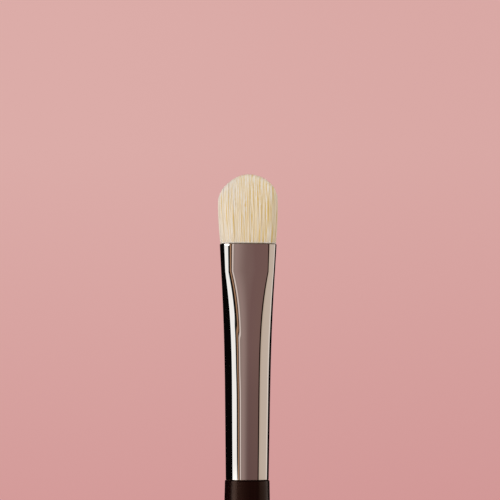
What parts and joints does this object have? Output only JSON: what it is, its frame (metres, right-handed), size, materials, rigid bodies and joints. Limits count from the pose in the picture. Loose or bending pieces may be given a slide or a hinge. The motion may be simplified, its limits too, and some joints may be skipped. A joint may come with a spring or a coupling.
{
  "type": "eyeshadow brush",
  "caption": "Flat eyeshadow brush: pale domed tuft in a polished metal ferrule, pressed flat at its mouth, on a slim dark lacquered wooden handle.",
  "frame": {"origin": "centre of the handle's butt, where the object's box stands", "axes": "+Z along the brush's axis from the butt to the tuft's tip; the tuft's wide faces look to -Y and +Y, and its narrow edges to -X and +X"},
  "size_m": [0.0099, 0.0084, 0.1702],
  "materials": {
    "hair": "satin filaments, cream with tan streaks",
    "thread": "matte",
    "resin": "gloss",
    "ferrule_metal": "polished",
    "adhesive": "satin",
    "lacquered_wood": "satin"
  },
  "bodies": {
    "root": {"hair_tuft": "hair", "binding_thread": "thread", "root_resin": "resin", "ferrule": "ferrule_metal", "tenon_adhesive": "adhesive", "handle": "lacquered_wood"}
  },
  "joints": []
}
